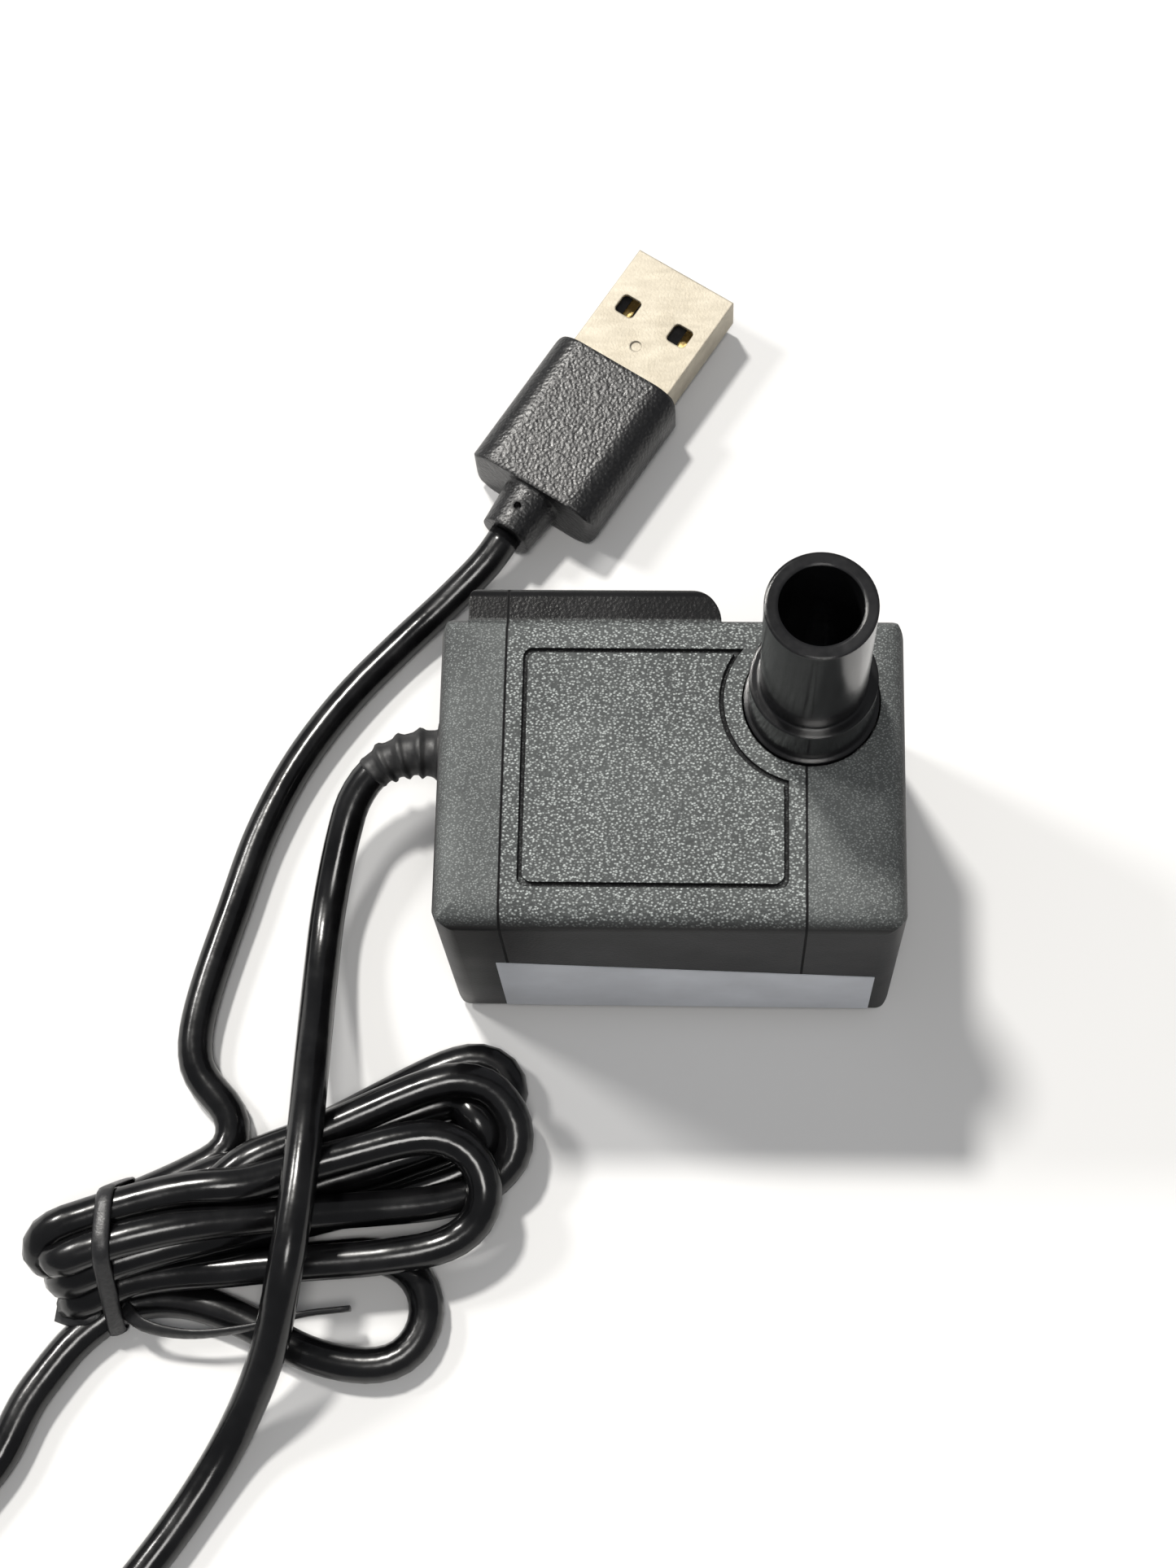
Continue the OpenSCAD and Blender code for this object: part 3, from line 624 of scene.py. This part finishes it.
def plain_metal(name, colour, rough=0.3, lines=(1, 1, 1), depth=0.00002):
    m = Mat(name)
    grain = m.noise(1500, 3.0, 0.6, vector=m.stretch(lines))
    wide = m.noise(180, 3.0, 0.6)
    c = colour
    m.link(m.blend(m.span(wide, 0.35, 0.7, 0, 1), (c[0] * 0.8, c[1] * 0.8, c[2] * 0.8, 1),
                   (c[0], c[1], c[2], 1)), "Base Color")
    m.link(m.span(grain, 0.3, 0.7, rough - 0.08, rough + 0.1), "Roughness")
    m.link(m.bump(grain, depth, 0.6, m.soft_edge(0.0002)), "Normal")
    m.set(Metallic=1.0)
    return m.m


def wound_copper():
    """Enamelled wire: fine ridges round the coil's axis, with painted shade between the turns.
    """
    m = Mat("wound_copper")
    wave = m.node("ShaderNodeTexWave", {
        "Vector": m.coord.outputs["Object"], "Scale": 900.0, "Distortion": 0.6,
        "Detail": 1.0}, wave_type="BANDS", bands_direction="Z").outputs["Fac"]
    wide = m.noise(300, 3.0, 0.6)
    m.link(m.bump(wave, 0.00012, 0.9), "Normal")
    # Painted shade: the base colour is dark in the troughs between turns and copper-bright on
    # their crowns, following the bump.
    m.link(m.blend(wave, (0.28, 0.09, 0.03, 1), (0.85, 0.36, 0.13, 1)), "Base Color")
    m.link(m.span(wide, 0.3, 0.7, 0.22, 0.36), "Roughness")
    m.set(Metallic=0.85)
    return m.m


def laminated_steel():
    """Stacked plates: thin dark lines across the pack."""
    m = Mat("laminated_steel")
    wave = m.node("ShaderNodeTexWave", {
        "Vector": m.coord.outputs["Object"], "Scale": 630.0, "Distortion": 0.15,
        "Detail": 1.0}, wave_type="BANDS", bands_direction="X").outputs["Fac"]
    rust = m.noise(260, 4.0, 0.65)
    steel = m.blend(m.span(wave, 0.0, 0.35, 0, 1), (0.06, 0.06, 0.065, 1), (0.4, 0.41, 0.43, 1))
    m.link(m.blend(m.span(rust, 0.62, 0.75, 0, 0.5), steel, (0.22, 0.13, 0.08, 1)), "Base Color")
    m.link(m.bump(wave, 0.00008, 0.8), "Normal")
    m.link(m.span(rust, 0.3, 0.7, 0.35, 0.55), "Roughness")
    m.set(Metallic=0.8)
    return m.m


def solder_mask():
    m = Mat("solder_mask")
    tracks = m.node("ShaderNodeTexBrick", {
        "Vector": m.node("ShaderNodeMapping", {
            "Vector": m.coord.outputs["Object"],
            "Rotation": (0, math.radians(90), 0)}).outputs["Vector"],
        "Scale": 260.0, "Mortar Size": 0.03,
        "Color1": (0.012, 0.11, 0.035, 1), "Color2": (0.016, 0.135, 0.045, 1),
        "Mortar": (0.03, 0.2, 0.07, 1)}).outputs["Color"]
    fine = m.noise(1800, 3.0, 0.6)
    m.link(tracks, "Base Color")
    m.link(m.span(fine, 0.3, 0.7, 0.22, 0.34), "Roughness")
    m.link(m.bump(fine, 0.00003, 0.5), "Normal")
    return m.m


def dress(name, material):
    ob = nodes[name]
    ob.data.materials.clear()
    ob.data.materials.append(material)


SEAMS = [corner[0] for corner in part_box("main_housing")]
# Both finishes carry painted glints, painted groove shade, and a top tone that is partly painted
# light.
housing = eroded_plastic_painted_light("housing_eroded_painted_light", 3000, 0.0001, 0.07, 0.9)
covers = eroded_plastic_painted_light("cover_eroded_painted_light", 3800, 0.00006, 0.085, 0.4)
casing = gloss_plastic("casing_gloss")
rubber = plain_plastic("black_rubber", (0.01, 0.01, 0.0105), 0.5)
pvc = cord_pvc()
overmould = leather_pvc()

dress("main_housing", housing)
dress("rear_cover", covers)
dress("intake_cover", covers)
dress("volute_casing", casing)
for part in ("chamber_seal", "rear_bush", "front_bush", "cord_gland"):
    dress(part, rubber)
dress("rotor_shaft", plain_metal("shaft_steel", (0.75, 0.76, 0.78), 0.16, (0.1, 1, 1)))
dress("thrust_washers", plain_plastic("washer_white", (0.72, 0.72, 0.7), 0.4))
dress("rotor_magnet", plain_plastic("sintered_magnet", (0.05, 0.05, 0.055), 0.6, 2600, 0.0001))
rotor = plain_plastic("rotor_white", (0.62, 0.65, 0.68), 0.35)
dress("rotor_carrier", rotor)
dress("impeller", rotor)
dress("stator_core", laminated_steel())
dress("coil_bobbin", plain_plastic("bobbin_nylon", (0.66, 0.6, 0.48), 0.42))
copper = wound_copper()
dress("coil_winding", copper)
dress("coil_leads", copper)
dress("circuit_board", solder_mask())
dress("board_parts", plain_plastic("part_epoxy", (0.02, 0.02, 0.022), 0.4))
dress("potting", plain_plastic("cast_resin", (0.02, 0.02, 0.022), 0.25, 500))
dress("data_label", label_film())
dress("plug_overmold", overmould)
dress("plug_shell", matt_nickel())
dress("plug_insulator", plain_plastic("insulator", (0.02, 0.02, 0.022), 0.45))
dress("plug_contacts", plain_metal("contact_gilt", (0.9, 0.66, 0.28), 0.2))

cord.data.materials.append(pvc)
tie_plastic = plain_plastic("tie_plastic", (0.012, 0.012, 0.013), 0.4, 1800, 0.0001)
for piece in (tie_band, tail_a, tail_b):
    piece.data.materials.append(tie_plastic)
relief.data.materials.append(rubber)


# ---------------------------------------------------------------- stage and light

FLOOR_HALF = 3.0


def make_stage():
    """A plain pale floor under the part."""
    data = bpy.data.meshes.new("floor")
    s = FLOOR_HALF
    data.from_pydata([(-s, -s, 0), (s, -s, 0), (s, s, 0), (-s, s, 0)], [], [(0, 1, 2, 3)])
    ob = bpy.data.objects.new("floor", data)
    scene.collection.objects.link(ob)
    m = Mat("floor_pale")
    m.link(m.blend(m.noise(8, 2.0, 0.5), (0.62, 0.62, 0.62, 1), (0.66, 0.66, 0.66, 1)),
           "Base Color")
    m.set(Roughness=0.8, Specular_IOR_Level=0.2)
    data.materials.append(m.m)


def aim_light(ob, place, aim=(0, 0, 0)):
    ob.location = place
    ob.rotation_euler = (Vector(aim) - Vector(place)).to_track_quat("-Z", "Y").to_euler()
    scene.collection.objects.link(ob)


def area_light(name, place, size, power, colour):
    data = bpy.data.lights.new(name, "AREA")
    data.shape = "DISK"
    data.size = size
    data.energy = power
    data.color = colour
    aim_light(bpy.data.objects.new(name, data), place)


def sun_light(name, place, angle, power, colour):
    data = bpy.data.lights.new(name, "SUN")
    data.angle = math.radians(angle)
    data.energy = power
    data.color = colour
    aim_light(bpy.data.objects.new(name, data), place)


make_stage()
sun_light("key", (-0.24, 0.42, 0.80), 6, 3.1, (1.0, 0.975, 0.93))
area_light("left", (-0.48, 0.26, 0.50), 0.12, 2.6, (1.0, 0.98, 0.95))
area_light("overhead", (0.04, -0.22, 0.80), 0.22, 2.4, (1.0, 0.98, 0.95))
world = bpy.data.worlds.new("studio")
world.use_nodes = True
world.node_tree.nodes["Background"].inputs[0].default_value = (0.94, 0.96, 1.0, 1)
world.node_tree.nodes["Background"].inputs[1].default_value = 0.26
scene.world = world
scene.view_settings.view_transform = "Standard"
